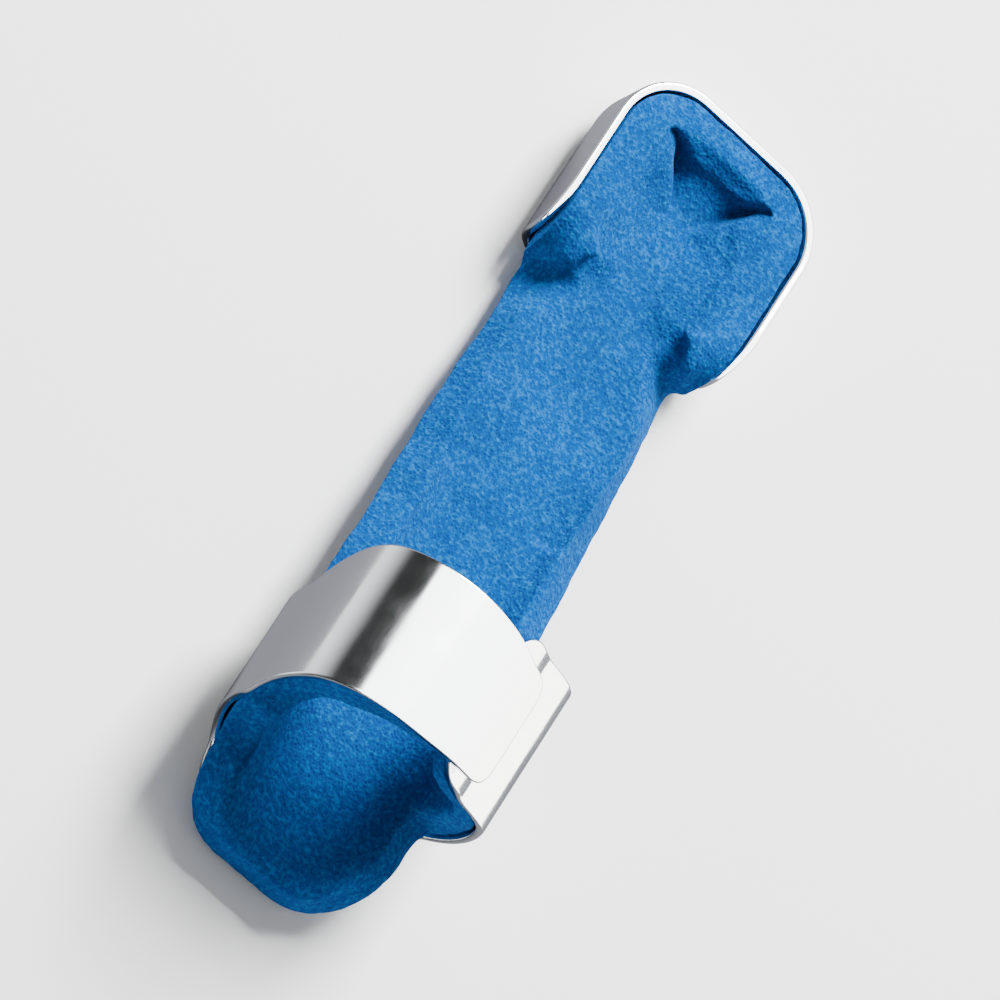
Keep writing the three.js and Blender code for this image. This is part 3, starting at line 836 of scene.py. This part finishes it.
class SPLINT_OT_stage(bpy.types.Operator):
    """Sets the floor, the studio light and the camera"""

    bl_idname = "splint.stage"
    bl_label = "Stage"

    # The photograph's view: from the near left, turned so that the fingertip points up and to the right
    to_camera = Vector((-0.310, -0.423, 0.852))
    camera_right = Vector((0.710, 0.494, 0.503))
    lens = 300
    sensor = 36
    clip_end = 10
    frame_width = 99 * MM
    look_at = Vector((-0.4 * MM, -1.3 * MM, 7.1 * MM))

    floor_half = 1.5
    key_towards = Vector((0.05, 0.75, 0.75))
    key_distance = 0.9
    key_size = (0.35, 0.5)
    key_energy = 42

    # The tent's light on matt pieces; and, as the metal mirrors it, how bright each sheet is and between
    # which places it fades, measured across the slit from its middle
    tent_light = 0.45
    slit_facing = (0.731, 0.0, 0.682)
    left_sheet = {"From Min": -0.7, "From Max": -0.28, "To Min": 1.9, "To Max": 0.045}
    top_sheet = {"From Min": 0.12, "From Max": 0.16, "To Min": 0.0, "To Max": 8.0}
    cool_tint = (0.96, 0.98, 1.0, 1)
    warm_tint = (1.0, 0.985, 0.93, 1)
    warm_from, warm_to = 0.3, 1.0

    def execute(self, context):
        self.add_floor(context)
        self.add_lights(context)
        self.add_camera(context)
        return {"FINISHED"}

    def add_floor(self, context):
        half = self.floor_half
        corners = [(-half, -half, 0), (half, -half, 0), (half, half, 0), (-half, half, 0)]
        mesh = bpy.data.meshes.new("floor")
        mesh.from_pydata(corners, [], [(0, 1, 2, 3)])
        mesh.materials.append(painted_floor(context.scene.splint_finish))
        floor = bpy.data.objects.new("floor", mesh)
        context.scene.collection.objects.link(floor)

    def add_lights(self, context):
        key = bpy.data.lights.new("key_softbox", "AREA")
        key.shape = "RECTANGLE"
        key.size, key.size_y = self.key_size
        key.energy = self.key_energy
        lamp = bpy.data.objects.new("key_softbox", key)
        towards = self.key_towards.normalized()
        lamp.location = towards * self.key_distance
        lamp.rotation_euler = towards.to_track_quat("Z", "Y").to_euler()
        context.scene.collection.objects.link(lamp)

        # A white tent with one dark slit over its left side
        world = bpy.data.worlds.new("studio_tent")
        world.use_nodes = True
        tree = world.node_tree
        tree.nodes.clear()
        direction = add_node(tree, "ShaderNodeTexCoord").outputs["Generated"]
        from_slit = add_node(tree, "ShaderNodeVectorMath", {
            "operation": "DOT_PRODUCT", 1: self.slit_facing,
        }, {0: direction})
        left_sheet, top_sheet = (
            add_node(tree, "ShaderNodeMapRange", {"interpolation_type": "SMOOTHSTEP", **sheet}, {
                "Value": from_slit.outputs["Value"],
            })
            for sheet in (self.left_sheet, self.top_sheet)
        )
        sheets = add_node(tree, "ShaderNodeMath", {"operation": "ADD"}, {
            0: left_sheet.outputs["Result"], 1: top_sheet.outputs["Result"],
        })
        to_gloss = add_node(tree, "ShaderNodeLightPath").outputs["Is Glossy Ray"]
        strength = add_node(tree, "ShaderNodeMix", {"data_type": "FLOAT", 2: self.tent_light}, {
            0: to_gloss, 3: sheets.outputs["Value"],
        })
        sideways = add_node(tree, "ShaderNodeSeparateXYZ", None, {"Vector": direction})
        warmth = add_node(tree, "ShaderNodeMapRange", {
            "From Min": self.warm_from, "From Max": self.warm_to,
        }, {"Value": sideways.outputs["X"]})
        tint = add_node(tree, "ShaderNodeMix", {
            "data_type": "RGBA", 6: self.cool_tint, 7: self.warm_tint,
        }, {0: warmth.outputs["Result"]})
        light = add_node(tree, "ShaderNodeBackground", None, {
            "Color": tint.outputs[2], "Strength": strength.outputs[0],
        })
        add_node(tree, "ShaderNodeOutputWorld", None, {"Surface": light.outputs["Background"]})
        context.scene.world = world

    def add_camera(self, context):
        data = bpy.data.cameras.new("camera")
        data.lens = self.lens
        data.sensor_width = self.sensor
        data.clip_end = self.clip_end
        camera = bpy.data.objects.new("camera", data)
        back = self.to_camera.normalized()
        up = back.cross(self.camera_right).normalized()
        right = up.cross(back)
        turned = Matrix((right, up, back)).transposed().to_4x4()
        distance = self.frame_width * self.lens / self.sensor
        camera.matrix_world = Matrix.Translation(self.look_at + back * distance) @ turned
        context.scene.collection.objects.link(camera)
        context.scene.camera = camera


class SPLINT_PT_sidebar(bpy.types.Panel):
    """Lists the splint's sizes, colours and pieces in the sidebar"""

    bl_idname = "SPLINT_PT_sidebar"
    bl_label = "Finger splint"
    bl_space_type = "VIEW_3D"
    bl_region_type = "UI"
    bl_category = "Splint"

    def draw(self, context):
        for name in GROUPS:
            box = self.layout.box()
            box.label(text=name.replace("_", " ").capitalize())
            group = getattr(context.scene, name)
            for size in group.__annotations__:
                box.prop(group, size)
        for operator in PIECES:
            self.layout.operator(operator.bl_idname)


GROUPS = {
    "splint_sheets": SplintSheets,
    "splint_ring": SplintRing,
    "splint_strip": SplintStrip,
    "splint_cage": SplintCage,
    "splint_finish": SplintFinish,
}
PIECES = (SPLINT_OT_shell, SPLINT_OT_lining, SPLINT_OT_stage)


def register():
    for kind in (*GROUPS.values(), *PIECES, SPLINT_PT_sidebar):
        bpy.utils.register_class(kind)
    for name, group in GROUPS.items():
        setattr(bpy.types.Scene, name, PointerProperty(type=group))


def unregister():
    for name in GROUPS:
        delattr(bpy.types.Scene, name)
    for kind in reversed((*GROUPS.values(), *PIECES, SPLINT_PT_sidebar)):
        bpy.utils.unregister_class(kind)


def main():
    register()
    bpy.ops.splint.shell()
    bpy.ops.splint.lining()
    bpy.ops.splint.stage()


if __name__ == "__main__":
    main()
